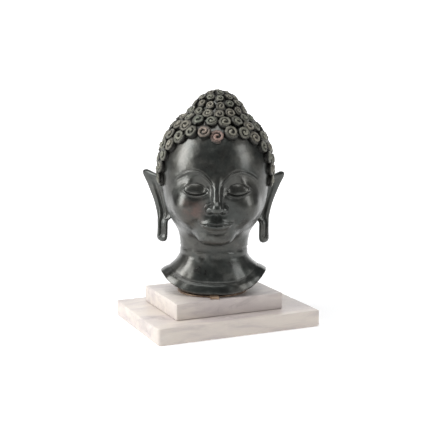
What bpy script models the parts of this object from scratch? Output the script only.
"""Cast bronze head of a Buddha on a two-step marble stand.

The origin is the middle of the stand's underside, +Z is up and +X runs along the stand's long edge. The head is
turned on the stand. Head dimensions are millimetres in the head's own frame: x to its left ear, y to its back,
so the face looks along -y, and z above the underside of the stand.
"""

import math

import bmesh
import bpy
import numpy as np
from mathutils import Vector, geometry

MM = 0.001

# Stand, metres: width, depth and thickness of each slab, and the stone fillets.
LOWER_SLAB = (0.262, 0.1888, 0.025)
UPPER_SLAB = (0.174, 0.1331, 0.0247)
UPPER_CENTRE = (-0.0039, 0.0040)
LOWER_CORNER_R = 0.0045
LOWER_EDGE_R = 0.0022
UPPER_CORNER_R = 0.0018
UPPER_EDGE_R = 0.0009
CONTACT_GAP = 0.0003
MARBLE_TOP = 0.050

# Mounting plate, metres: thin disc with a tab under each lip of the collar.
DISC_R = 0.0535
DISC_T = 0.0022
DISC_CENTRE = (-0.0058, 0.0014)
TAB_W = 0.013
TAB_TOP = 0.0542
TAB_INNER_R = 0.040
FRONT_TAB_REACH = 0.0648
REAR_TAB_REACH = 0.0645
DISC_SIDES = 72

# Where the head stands and how it is turned.
HEAD_SPOT = (-0.0031, 0.0041)
HEAD_TURN_DEG = -22.2
HEAD_LEAN_DEG = 1.1

# Head, millimetres.
LIP_Z = 54.5
TIP_Z = 82.3
RIM_SKEW = 2.5
RIM_HALF_W = 81.0
RIM_HALF_FRONT = 59.5
RIM_HALF_BACK = 57.0
RIM_POWER = 3.5
RIM_WALL = 6.0
CEILING_Z = 93.0
NECK_HALF_W = 51.5
NECK_HALF_D = 46.0
NECK_TOP_Z = 190.0
RAY_CENTRE_Z = 170.0
SKULL = ((0.0, 0.5, 238.0), (83.0, 80.5, 93.0))
CROWN = ((2.0, 4.0, 300.0), (43.5, 44.0, 52.0))
FACE = ((0.0, -4.0, 200.0), (77.0, 80.0, 76.0))
MUZZLE = ((0.0, -48.0, 166.0), (33.0, 37.0, 25.0))
CHIN = ((0.0, -58.0, 143.5), (27.0, 24.0, 15.0))
CHEEK = ((37.0, -49.0, 187.0), (26.0, 28.0, 26.0))
SOCKET = ((31.0, -92.0, 217.0), (22.0, 20.0, 15.0))
LID = ((31.0, -59.5, 212.5), (20.0, 17.0, 14.0))
BROW_PEAK = (31.0, 238.5)
BROW_FALL_IN = 0.030
BROW_FALL_OUT = 0.0135
BROW_H = 1.3
BROW_W = 5.0
NOSE_ROOT = ((0.0, -76.0, 230.0), 6.5)
NOSE_END = ((0.0, -93.0, 192.0), 8.5)
NOSE_TIP = ((0.0, -95.0, 189.0), (9.0, 9.0, 8.5))
NOSE_WING = ((11.0, -86.5, 186.5), (7.2, 9.5, 6.5))
UPPER_LIP = (168.2, 4.6, 25.0, 5.2)
LOWER_LIP = (159.3, 5.4, 21.0, 5.6)
MOUTH_Z = 163.8

# Hair: hairline height by azimuth from the face, degrees and millimetres.
HAIRLINE = ((0, 285), (35, 284), (50, 276), (60, 265), (68, 250), (74, 232), (78, 214), (82, 205), (87, 206),
            (90, 236), (110, 238), (117, 182), (130, 162), (180, 154))
CURL_R_LOW = 10.2
CURL_R_TOP = 7.3
CURL_SHRINK_FROM_Z = 298.0
CURL_SHRINK_TO_Z = 345.0
CURL_RISE = 0.78
CURL_SPACING = 1.90
ROW_SPACING = 1.66
MIDDLE_CURL_DROP = 7.0

# Ears: shift to one side, narrowing at the rim, then the stations from the top down as
# z, root x, rim x, root y, rim y, half thickness, slot depth.
EAR_SHIFT_X = -1.3
EAR_NARROWING = 1.3
EAR = ((232.2, 84, 100, 8, 20, 1.4, 0), (230.4, 76, 107, 4, 25, 3.6, 0), (226.0, 72, 110.2, 2, 29, 4.8, 0),
       (220.0, 70, 107.8, 1, 28, 4.4, 0.8), (211.0, 68, 103.6, 0, 26, 4.2, 1.6), (200.0, 66, 98.8, -1, 23, 4.2, 2.0),
       (188.0, 64, 93.8, -2, 20, 4.2, 2.4), (177.0, 62, 90.4, -3, 17, 4.2, 3.0), (167.0, 62, 87.8, -4, 14, 4.2, 3.4),
       (160.5, 66, 86.6, -5, 12, 4.2, 3.6), (156.0, 70.5, 86.3, -6, 11, 4.2, 3.6), (146.0, 71, 86.0, -7, 9, 4.2, 3.6),
       (136.5, 71, 86.4, -7, 8, 4.2, 3.4), (130.5, 71.5, 86.8, -7, 8, 4.0, 0), (126.3, 73, 85.0, -5, 6, 3.2, 0),
       (124.2, 76, 82.0, -2, 3, 1.2, 0))


def smooth_min(a, b, k):
    h = np.clip(0.5 + 0.5 * (b - a) / k, 0.0, 1.0)
    return b * (1 - h) + a * h - k * h * (1 - h)


def smooth_step(x, low, high):
    t = np.clip((x - low) / (high - low), 0.0, 1.0)
    return t * t * (3 - 2 * t)


def ellipsoid(p, shape, side=1.0):
    centre, radii = np.array(shape[0]) * (side, 1, 1), np.array(shape[1])
    near = np.linalg.norm((p - centre) / radii, axis=-1)
    slope = np.linalg.norm((p - centre) / radii**2, axis=-1)
    return near * (near - 1.0) / np.maximum(slope, 1e-9)


def round_cone(p, start, start_r, end, end_r):
    a, b = np.array(start), np.array(end)
    t = np.clip((p - a) @ (b - a) / ((b - a) @ (b - a)), 0, 1)
    return np.linalg.norm(p - (a + t[..., None] * (b - a)), axis=-1) - (start_r + t * (end_r - start_r))


def neck_field(p):
    widen = 1.0 + 0.10 * smooth_step(p[..., 2], 118.0, 160.0)
    across = np.hypot(p[..., 0] / (NECK_HALF_W * widen), p[..., 1] / (NECK_HALF_D * widen))
    return np.maximum((across - 1.0) * NECK_HALF_D, p[..., 2] - NECK_TOP_Z)


def brow_line(x):
    off = x - BROW_PEAK[0]
    return BROW_PEAK[1] - np.where(off < 0, BROW_FALL_IN, BROW_FALL_OUT) * off**2


def lip_bump(x, z, lip, curl):
    mid, half_h, half_w, rise = lip
    span = np.clip(1 - (x / half_w) ** 2, 0, 1)
    across = (z - mid - curl * x**2) / (half_h * np.sqrt(span) + 0.4)
    return rise * np.sqrt(span) * np.clip(1 - across**2, 0, 1) ** 0.7


def relief(p):
    """Low carving laid over the masses of the face: brows, lips and the channel over the mouth."""
    x, z = np.abs(p[..., 0]), p[..., 2]
    front = smooth_step(-p[..., 1], 20.0, 45.0)
    brow = BROW_H * np.exp(-(((z - brow_line(x)) / BROW_W) ** 2)) * smooth_step(x, 4.0, 12.0)
    brow = brow * (1 - smooth_step(x, 48.0, 62.0))
    lips = lip_bump(x, z, UPPER_LIP, 0.0022) + lip_bump(x, z, LOWER_LIP, 0.0045)
    mouth = 1.6 * np.exp(-(((z - MOUTH_Z - 0.0035 * x**2) / 1.6) ** 2)) * (1 - smooth_step(x, 20.0, 27.0))
    channel = 1.0 * np.exp(-((x / 3.0) ** 2) - ((z - 175.5) / 4.0) ** 2)
    return front * (brow + lips - mouth - channel)


def head_field(p):
    """Signed distance, roughly, to the bare head and neck, without curls or ears."""
    mass = smooth_min(ellipsoid(p, SKULL), ellipsoid(p, CROWN), 7.0)
    mass = smooth_min(mass, ellipsoid(p, FACE), 12.0)
    mass = smooth_min(mass, ellipsoid(p, MUZZLE), 12.0)
    mass = smooth_min(mass, ellipsoid(p, CHIN), 11.0)
    for side in (-1.0, 1.0):
        mass = smooth_min(mass, ellipsoid(p, CHEEK, side), 12.0)
    for side in (-1.0, 1.0):
        mass = -smooth_min(-mass, ellipsoid(p, SOCKET, side), 7.0)
        mass = smooth_min(mass, ellipsoid(p, LID, side), 2.5)
    mass = smooth_min(mass, round_cone(p, *NOSE_ROOT, *NOSE_END), 6.0)
    mass = smooth_min(mass, ellipsoid(p, NOSE_TIP), 4.0)
    for side in (-1.0, 1.0):
        mass = smooth_min(mass, ellipsoid(p, NOSE_WING, side), 3.5)
    return smooth_min(mass - relief(p), neck_field(p), 6.0)


def directions(azimuth, polar):
    """Unit vectors: azimuth 0 is the face, polar 0 is up."""
    return np.stack([np.sin(polar) * np.sin(azimuth), -np.sin(polar) * np.cos(azimuth), np.cos(polar)], axis=-1)


def skin(azimuth, polar):
    """Points where rays from the ray centre leave the bare head, found by walking in from outside."""
    way = directions(azimuth, polar)
    centre = np.array((0.0, 0.0, RAY_CENTRE_Z))
    far = np.full(way.shape[:-1], 190.0)
    for _ in range(45):
        far = far - 0.8 * head_field(centre + far[..., None] * way)
    return centre + far[..., None] * way


class Scalp:
    """The bare head tabulated by azimuth and polar angle, quick enough to lay hundreds of curls on."""

    def __init__(self):
        self.azimuth = np.linspace(-np.pi, np.pi, 121)
        self.polar = np.linspace(0.0, 2.2, 140)
        points = skin(*np.meshgrid(self.azimuth, self.polar, indexing="ij"))
        self.far = np.linalg.norm(points - (0, 0, RAY_CENTRE_Z), axis=-1)
        self.height = points[..., 2]

    def at(self, azimuth, polar):
        i = np.clip((azimuth + np.pi) / (2 * np.pi) * 120, 0, 119.999)
        j = np.clip(polar / 2.2 * 139, 0, 138.999)
        i0, j0 = i.astype(int), j.astype(int)
        u, v = i - i0, j - j0
        low = self.far[i0, j0] * (1 - v) + self.far[i0, j0 + 1] * v
        high = self.far[i0 + 1, j0] * (1 - v) + self.far[i0 + 1, j0 + 1] * v
        far = low * (1 - u) + high * u
        return (0, 0, RAY_CENTRE_Z) + far[..., None] * directions(azimuth, polar)

    def under(self, p):
        return self.at(*angles_of(p))

    def line_at(self, azimuth, height):
        """Points on the head at the given height for each azimuth."""
        columns = np.clip(np.round((azimuth + np.pi) / (2 * np.pi) * 120).astype(int), 0, 120)
        polar = [np.interp(-z, -self.height[i], self.polar) for i, z in zip(columns, height)]
        return self.at(azimuth, np.array(polar))


def skin_normal(p):
    step = 0.5
    grad = np.stack([head_field(p + step * np.eye(3)[i]) - head_field(p - step * np.eye(3)[i]) for i in range(3)], -1)
    return grad / np.linalg.norm(grad, axis=-1, keepdims=True)


def angles_of(p):
    """Azimuth and polar angle of points seen from the ray centre."""
    q = p - np.array((0.0, 0.0, RAY_CENTRE_Z))
    return np.arctan2(q[..., 0], -q[..., 1]), np.arctan2(np.hypot(q[..., 0], q[..., 1]), q[..., 2])


def curl_radius(z):
    return CURL_R_LOW + (CURL_R_TOP - CURL_R_LOW) * smooth_step(z, CURL_SHRINK_FROM_Z, CURL_SHRINK_TO_Z)


def hairline_z(azimuth):
    turns, heights = np.array(HAIRLINE, float).T
    return np.interp(np.degrees(np.abs(azimuth)), turns, heights)


def evenly(line, spacing=None, count=None, shift=0.0):
    """Points spread along a polyline, at a spacing or as a whole number of equal steps."""
    walked = np.concatenate([[0.0], np.cumsum(np.linalg.norm(np.diff(line, axis=0), axis=1))])
    stops = np.arange(1, walked[-1] / spacing) * spacing if spacing else (np.arange(count) + shift) / count * walked[-1]
    return np.stack([np.interp(stops, walked, line[:, i]) for i in range(3)], -1)


def front_row(scalp):
    """Curl centres along the hairline, from the middle of the brow down to the front of each ear."""
    turn = np.radians(np.arange(0.0, 86.1, 0.5))
    line = scalp.line_at(turn, hairline_z(turn) + CURL_R_LOW * 1.02)
    side = evenly(line, spacing=CURL_R_LOW * CURL_SPACING)
    return np.concatenate([line[:1] - (0, 0, MIDDLE_CURL_DROP), side, side * (-1, 1, 1)])


def ring_rows(scalp):
    """Curl centres in staggered rings from the top of the crown down, before they are fitted to the hairline."""
    turns = np.linspace(-np.pi, np.pi, 121)
    drop = scalp.at(np.full(400, np.pi / 2), np.linspace(0.02, 2.1, 400))
    walked = np.concatenate([[0.0], np.cumsum(np.linalg.norm(np.diff(drop, axis=0), axis=1))])
    found = [drop[:1]]
    reach = CURL_R_TOP * ROW_SPACING
    row = 0
    while reach < walked[-1]:
        z = float(np.interp(reach, walked, drop[:, 2]))
        radius = float(curl_radius(z))
        line = scalp.line_at(turns, np.full(turns.shape, z))
        length = np.linalg.norm(np.diff(line, axis=0), axis=1).sum()
        found.append(evenly(line, count=max(5, round(length / (radius * CURL_SPACING))), shift=0.5 * (row % 2)))
        reach = reach + radius * ROW_SPACING
        row = row + 1
    return np.concatenate(found)


def hair_layout(scalp):
    """Centres on the skin and radii of all curls, evened out by pushing close neighbours apart."""
    fixed = front_row(scalp)
    every = list(fixed)
    for p in ring_rows(scalp):
        room = curl_radius(p[2])
        above = p[2] > hairline_z(angles_of(p)[0]) + 0.8 * room
        if above and np.linalg.norm(np.array(every) - p, axis=1).min() > 1.45 * room:
            every.append(p)
    free = np.array(every[len(fixed):])
    for _ in range(30):
        every = np.concatenate([fixed, free])
        gap = free[:, None] - every[None]
        dist = np.linalg.norm(gap, axis=-1) + 1e-6
        want = CURL_SPACING * 0.5 * (curl_radius(free[:, 2])[:, None] + curl_radius(every[:, 2])[None])
        push = np.where((dist < want) & (dist > 1e-3), (want - dist) / dist, 0.0)
        free = scalp.under(free + 0.25 * (push[..., None] * gap).sum(axis=1))
        free = free[free[:, 2] > hairline_z(angles_of(free)[0]) + 0.6 * curl_radius(free[:, 2])]
    centres = np.concatenate([fixed, free])
    return centres, curl_radius(centres[:, 2])


def flat_layout(azimuth, polar):
    """Stereographic map of a direction, so that a flat triangulation suits the round head."""
    reach = np.tan(np.minimum(polar, 3.10) / 2)
    return np.stack([reach * np.sin(azimuth), reach * np.cos(azimuth)], -1)


def triangles(flat):
    return [tuple(face) for face in geometry.delaunay_2d_cdt([Vector(map(float, q)) for q in flat], [], [], 0, 1e-9)[2]]


def hair_points(scalp):
    """Low-count curls: a crest, a ring of six and a shared hollow between each two neighbours."""
    centres, radii = hair_layout(scalp)
    normal = skin_normal(centres)
    across = np.cross(normal, (0.0, 0.0, 1.0))
    across = across / np.maximum(np.linalg.norm(across, axis=1, keepdims=True), 1e-6)
    up = np.cross(across, normal)
    points = [centres + normal * (radii * CURL_RISE)[:, None]]
    bases = [centres]
    for k in range(6):
        turn = math.pi / 3 * k + 0.4
        foot = centres + (across * math.cos(turn) + up * math.sin(turn)) * (0.62 * radii)[:, None]
        points.append(foot + normal * (0.76 * CURL_RISE * radii)[:, None])
        bases.append(foot)
    flat = flat_layout(*angles_of(centres))
    pairs = {tuple(sorted((face[i], face[i - 1]))) for face in triangles(flat) for i in range(3)}
    hollows = []
    for i, j in sorted(pairs):
        if np.linalg.norm(centres[i] - centres[j]) < 1.36 * (radii[i] + radii[j]):
            hollows.append(scalp.under((centres[i] + centres[j])[None] / 2)[0])
    hollows = np.array(hollows)
    points.append(hollows)
    bases.append(hollows)
    return np.concatenate(points), np.concatenate(bases), centres, radii


FACE_Z = (283, 276, 269, 262, 255, 248, 243, 238.5, 233, 228, 223, 218, 213, 208, 203, 198, 193.5, 189.5, 185.5,
          182, 178.5, 174, 170.5, 167.5, 163.8, 160.5, 157.5, 153.5, 149.5, 145, 140, 135, 130.5)
FACE_X = (0, 3, 6, 9.5, 13.5, 18, 22, 26, 31, 36, 41, 46, 51, 56)
SIDE_DEG = (46, 53, 60, 67, 75, 83, 92, 102, 113, 125, 139, 152, 166)
NECK_POLAR_DEG = (121, 126, 131, 136.5)
COLLAR_T = (0.16, 0.32, 0.48, 0.62, 0.70, 0.76, 0.88, 1.0)


def column_angles():
    near = np.degrees(np.arcsin(np.array(FACE_X) / 80.0))
    right = np.concatenate([near, SIDE_DEG])
    return np.radians(np.concatenate([right, -right[1:], [180.0]]))


def face_polars():
    """Polar angles of the face rows, taken where the middle of the face has the listed heights."""
    dense = np.linspace(0.3, 2.15, 600)
    height = skin(np.zeros(600), dense)[:, 2]
    return np.interp(-np.array(FACE_Z, float), -height, dense)


def collar_rows(columns):
    """Trumpet flare from the neck to the rim, the rim's underside and the dished ceiling behind it."""
    top = skin(columns, np.full(columns.shape, math.radians(NECK_POLAR_DEG[-1])))
    s, c = np.sin(columns), np.cos(columns)
    depth = np.where(c > 0, RIM_HALF_FRONT, RIM_HALF_BACK)
    rise = np.abs(s) ** RIM_POWER
    rim_z = LIP_Z + (TIP_Z - LIP_Z + RIM_SKEW * s) * rise
    rim = np.stack([RIM_HALF_W * s, -depth * c, rim_z], -1)
    outward = np.stack([s, -c, 0 * s], -1)
    rows = []
    for t in COLLAR_T:
        flare = t**2.1
        row = top * (1 - flare) + rim * flare
        row[:, 2] = top[:, 2] + (rim_z - top[:, 2]) * t
        roll = 1.8 * np.sin(np.pi * np.clip((t - 0.70) / 0.30, 0, 1)) - 1.2 * math.exp(-(((t - 0.70) / 0.05) ** 2))
        rows.append(row + outward * roll)
    inner = rim - outward * RIM_WALL + (0, 0, 1.8)
    wall = rim - outward * (RIM_WALL + 2.0)
    wall[:, 2] = rim_z + 0.55 * (CEILING_Z - rim_z)
    ceiling = np.stack([42.0 * s, -36.0 * c, np.full(s.shape, CEILING_Z)], -1)
    rows.extend([inner, wall, ceiling])
    polar = np.radians(np.linspace(NECK_POLAR_DEG[-1], 172.0, len(rows) + 1)[1:])
    return np.array(rows), polar


def head_points():
    """All vertices of the head with the directions that place them in the triangulation."""
    scalp = Scalp()
    hair, hair_base, centres, radii = hair_points(scalp)
    spots = [hair]
    azimuths, polars = (list(x) for x in zip(angles_of(hair_base)))
    columns = column_angles()
    grid_a, grid_p = np.meshgrid(columns, np.concatenate([face_polars(), np.radians(NECK_POLAR_DEG)]), indexing="ij")
    grid = skin(grid_a.ravel(), grid_p.ravel())
    clear = np.ones(len(grid), bool)
    for centre, radius in zip(centres, radii):
        clear &= np.linalg.norm(grid - centre, axis=1) > 1.16 * radius
    hidden = (grid[:, 2] > hairline_z(grid_a.ravel()) + 4) & (np.abs(grid_a.ravel()) > 0.2)
    keep = clear & ~hidden
    spots.append(grid[keep])
    azimuths.append(grid_a.ravel()[keep])
    polars.append(grid_p.ravel()[keep])
    rim_turns = np.sort(columns)
    rows, row_polar = collar_rows(rim_turns)
    for row, polar in zip(rows, row_polar):
        spots.append(row)
        azimuths.append(rim_turns)
        polars.append(np.full(rim_turns.shape, polar))
    return np.concatenate(spots), np.concatenate(azimuths), np.concatenate(polars), len(rim_turns)


def mesh_object(name, points, faces, material):
    mesh = bpy.data.meshes.new(name)
    mesh.from_pydata([tuple(map(float, p)) for p in points], [], [tuple(map(int, f)) for f in faces])
    bm = bmesh.new()
    bm.from_mesh(mesh)
    bmesh.ops.recalc_face_normals(bm, faces=bm.faces)
    bm.to_mesh(mesh)
    bm.free()
    mesh.materials.append(material)
    obj = bpy.data.objects.new(name, mesh)
    bpy.context.scene.collection.objects.link(obj)
    return obj


def ear_mesh(side):
    """One long ear: a curled plate lofted from the top hook to the slotted lobe."""
    rings = []
    for z, root_x, rim_x, root_y, rim_y, thick, slot in EAR:
        root, rim = np.array((root_x, root_y), float), np.array((rim_x, rim_y), float)
        along = (rim - root) / np.linalg.norm(rim - root)
        face = np.array((-along[1], along[0])) * -1.0
        shape = ((0.0, 0.55), (0.20, 1.0), (0.44, 1.0), (0.53, 1.0), (0.60, 1.0), (0.68, 1.0), (0.86, 1.15), (1.0, 0.5),
                 (1.0, -0.5), (0.80, -1.0), (0.40, -1.0), (0.0, -0.6))
        ring = []
        for k, (share, height) in enumerate(shape):
            depth = slot if k in (3, 4) else 0.0
            spot = root + (rim - root) * share + face * (height * thick - depth)
            ring.append((side * (spot[0] - EAR_NARROWING * share) + EAR_SHIFT_X, spot[1], z))
        rings.append(ring)
    count = len(rings[0])
    points = [p for ring in rings for p in ring]
    faces = []
    for i in range(len(rings) - 1):
        for k in range(count):
            a, b = i * count + k, i * count + (k + 1) % count
            faces.extend([(a, b, b + count), (a, b + count, a + count)])
    for ring, base in ((rings[0], 0), (rings[-1], (len(rings) - 1) * count)):
        points.append(tuple(np.mean(ring, axis=0)))
        faces.extend((base + k, base + (k + 1) % count, len(points) - 1) for k in range(count))
    return np.array(points), faces


def add_boolean(target, tool, operation):
    modifier = target.modifiers.new(tool.name, "BOOLEAN")
    modifier.operation = operation
    modifier.solver = "EXACT"
    modifier.object = tool
    tool.hide_render = True
    tool.display_type = "WIRE"


def rounded_slab(name, size, foot_z, centre, corner_r, edge_r, material):
    mesh = bpy.data.meshes.new(name)
    bm = bmesh.new()
    bmesh.ops.create_cube(bm, size=1.0)
    bmesh.ops.scale(bm, vec=size, verts=bm.verts)
    upright = [e for e in bm.edges if abs(e.verts[0].co.z - e.verts[1].co.z) > size[2] / 2]
    bmesh.ops.bevel(bm, geom=upright, offset=corner_r, segments=4, profile=0.5, affect="EDGES")
    flat = [e for e in bm.edges if abs(e.verts[0].co.z - e.verts[1].co.z) < 1e-6
            and abs(abs(e.verts[0].co.z) - size[2] / 2) < 1e-6]
    bmesh.ops.bevel(bm, geom=flat, offset=edge_r, segments=2, profile=0.5, affect="EDGES")
    bm.to_mesh(mesh)
    bm.free()
    mesh.materials.append(material)
    obj = bpy.data.objects.new(name, mesh)
    obj.location = (centre[0], centre[1], foot_z + size[2] / 2)
    bpy.context.scene.collection.objects.link(obj)
    return obj


def plate_outline():
    """Plan of the mounting plate: the disc with a square-ended tab to the front and one to the back."""
    aim = math.radians(HEAD_TURN_DEG)
    front = math.atan2(-math.cos(aim), math.sin(aim)) + math.radians(1.5)
    back = front + math.pi - math.radians(1.0)
    return front, back


def mounting_plate(material):
    foot = MARBLE_TOP + CONTACT_GAP
    bm = bmesh.new()
    bmesh.ops.create_cone(bm, cap_ends=True, segments=DISC_SIDES, radius1=DISC_R, radius2=DISC_R - 0.0004,
                          depth=DISC_T)
    bmesh.ops.translate(bm, verts=bm.verts, vec=(0, 0, DISC_T / 2))
    mesh = bpy.data.meshes.new("mounting_plate")
    bm.to_mesh(mesh)
    bm.free()
    mesh.materials.append(material)
    disc = bpy.data.objects.new("mounting_plate", mesh)
    disc.location = (*DISC_CENTRE, foot)
    bpy.context.scene.collection.objects.link(disc)
    for label, turn, reach in zip(("front_tab", "rear_tab"), plate_outline(), (FRONT_TAB_REACH, REAR_TAB_REACH)):
        bm = bmesh.new()
        bmesh.ops.create_cube(bm, size=1.0)
        bmesh.ops.scale(bm, vec=(reach - TAB_INNER_R, TAB_W, TAB_TOP - foot), verts=bm.verts)
        bmesh.ops.translate(bm, verts=bm.verts, vec=((reach + TAB_INNER_R) / 2, 0, (TAB_TOP - foot) / 2))
        mesh = bpy.data.meshes.new(label)
        bm.to_mesh(mesh)
        bm.free()
        tab = bpy.data.objects.new(label, mesh)
        tab.location = disc.location
        tab.rotation_euler = (0, 0, turn)
        bpy.context.scene.collection.objects.link(tab)
        add_boolean(disc, tab, "UNION")
    return disc


def cast_head(material):
    points, azimuth, polar, rim_count = head_points()
    faces = triangles(flat_layout(azimuth, polar))
    floor = len(points)
    last_ring = np.arange(floor - rim_count, floor)
    faces.extend((int(last_ring[k]), int(last_ring[(k + 1) % rim_count]), floor) for k in range(rim_count))
    points = np.concatenate([points, [(0.0, 0.0, CEILING_Z + 3.0)]])
    points = (points - (0, 0, LIP_Z)) * MM
    head = mesh_object("bronze_head", points, faces, material)
    head.location = (*HEAD_SPOT, LIP_Z * MM)
    head.rotation_euler = (0, math.radians(HEAD_LEAN_DEG), math.radians(HEAD_TURN_DEG))
    for label, side in (("ear_a", -1.0), ("ear_b", 1.0)):
        spots, ear_faces = ear_mesh(side)
        ear = mesh_object(label, (spots - (0, 0, LIP_Z)) * MM, ear_faces, material)
        ear.location = head.location
        ear.rotation_euler = head.rotation_euler
        add_boolean(head, ear, "UNION")
    return head


def make_material(name, colour, metallic, roughness):
    material = bpy.data.materials.new(name)
    material.use_nodes = True
    shader = material.node_tree.nodes["Principled BSDF"]
    shader.inputs["Base Color"].default_value = (*colour, 1.0)
    shader.inputs["Metallic"].default_value = metallic
    shader.inputs["Roughness"].default_value = roughness
    return material


def main():
    for obj in list(bpy.data.objects):
        bpy.data.objects.remove(obj)
    bronze = make_material("dark_bronze", (0.045, 0.048, 0.043), 1.0, 0.38)
    brown = make_material("brown_plate", (0.20, 0.12, 0.08), 1.0, 0.5)
    marble = make_material("pale_marble", (0.78, 0.74, 0.71), 0.0, 0.35)
    rounded_slab("lower_slab", LOWER_SLAB, 0.0, (0.0, 0.0), LOWER_CORNER_R, LOWER_EDGE_R, marble)
    rounded_slab("upper_slab", UPPER_SLAB, MARBLE_TOP - UPPER_SLAB[2], UPPER_CENTRE, UPPER_CORNER_R,
                 UPPER_EDGE_R, marble)
    mounting_plate(brown)
    cast_head(bronze)


main()
